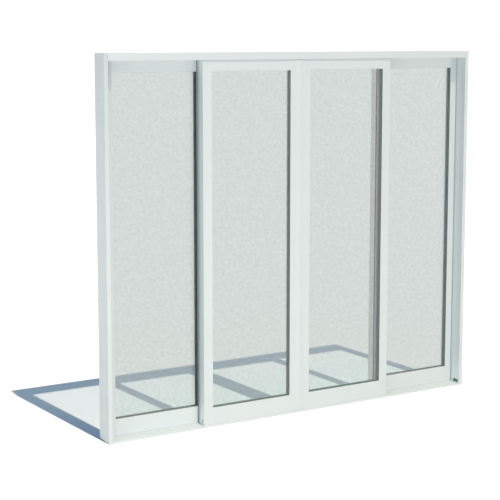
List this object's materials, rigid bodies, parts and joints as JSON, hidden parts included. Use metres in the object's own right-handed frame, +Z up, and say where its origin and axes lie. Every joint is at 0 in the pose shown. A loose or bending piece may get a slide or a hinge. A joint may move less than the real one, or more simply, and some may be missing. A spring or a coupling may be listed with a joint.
{
  "type": "sliding patio door",
  "caption": "Glass patio door in a white frame: fixed outer panels, and middle panels that slide outward in front of them on a sill track.",
  "frame": {"origin": "middle of the sill's underside", "axes": "+X right seen from the front, +Y through the opening from the front (sliding side) to the back, +Z up"},
  "size_m": [2.4, 0.132, 2.1],
  "materials": {
    "white_frame": "satin white powder coat",
    "glass": "clear float glass with a faint green cast",
    "gasket": "dark grey, matt",
    "spacer": "dark grey, matt",
    "roller_nylon": "natural nylon"
  },
  "bodies": {
    "frame": {"sill": "white_frame", "head": "white_frame", "left_jamb": "white_frame", "right_jamb": "white_frame", "slider_track": "white_frame", "track_stops": "gasket", "left_fixed_outer_stile": "white_frame", "left_fixed_inner_stile": "white_frame", "left_fixed_top_rail": "white_frame", "left_fixed_bottom_rail": "white_frame", "left_fixed_front_pane": "glass", "left_fixed_back_pane": "glass", "left_fixed_pane_spacer": "spacer", "left_fixed_glazing_gasket": "gasket", "left_interlock_seal": "gasket", "right_fixed_outer_stile": "white_frame", "right_fixed_inner_stile": "white_frame", "right_fixed_top_rail": "white_frame", "right_fixed_bottom_rail": "white_frame", "right_fixed_front_pane": "glass", "right_fixed_back_pane": "glass", "right_fixed_pane_spacer": "spacer", "right_fixed_glazing_gasket": "gasket", "right_interlock_seal": "gasket"},
    "left_slider": {"left_slider_outer_stile": "white_frame", "left_slider_meeting_stile": "white_frame", "left_slider_top_rail": "white_frame", "left_slider_bottom_rail": "white_frame", "left_slider_front_pane": "glass", "left_slider_back_pane": "glass", "left_slider_pane_spacer": "spacer", "left_slider_glazing_gasket": "gasket", "left_slider_outer_roller": "roller_nylon", "left_slider_meeting_roller": "roller_nylon", "left_slider_astragal": "white_frame"},
    "right_slider": {"right_slider_outer_stile": "white_frame", "right_slider_meeting_stile": "white_frame", "right_slider_top_rail": "white_frame", "right_slider_bottom_rail": "white_frame", "right_slider_front_pane": "glass", "right_slider_back_pane": "glass", "right_slider_pane_spacer": "spacer", "right_slider_glazing_gasket": "gasket", "right_slider_outer_roller": "roller_nylon", "right_slider_meeting_roller": "roller_nylon"}
  },
  "joints": [
    {"name": "left_slide", "type": "slide", "parent": "frame", "child": "left_slider", "axis": [-1, 0, 0], "range_m": [0, 0.54]},
    {"name": "right_slide", "type": "slide", "parent": "frame", "child": "right_slider", "axis": [1, 0, 0], "range_m": [0, 0.54]}
  ]
}
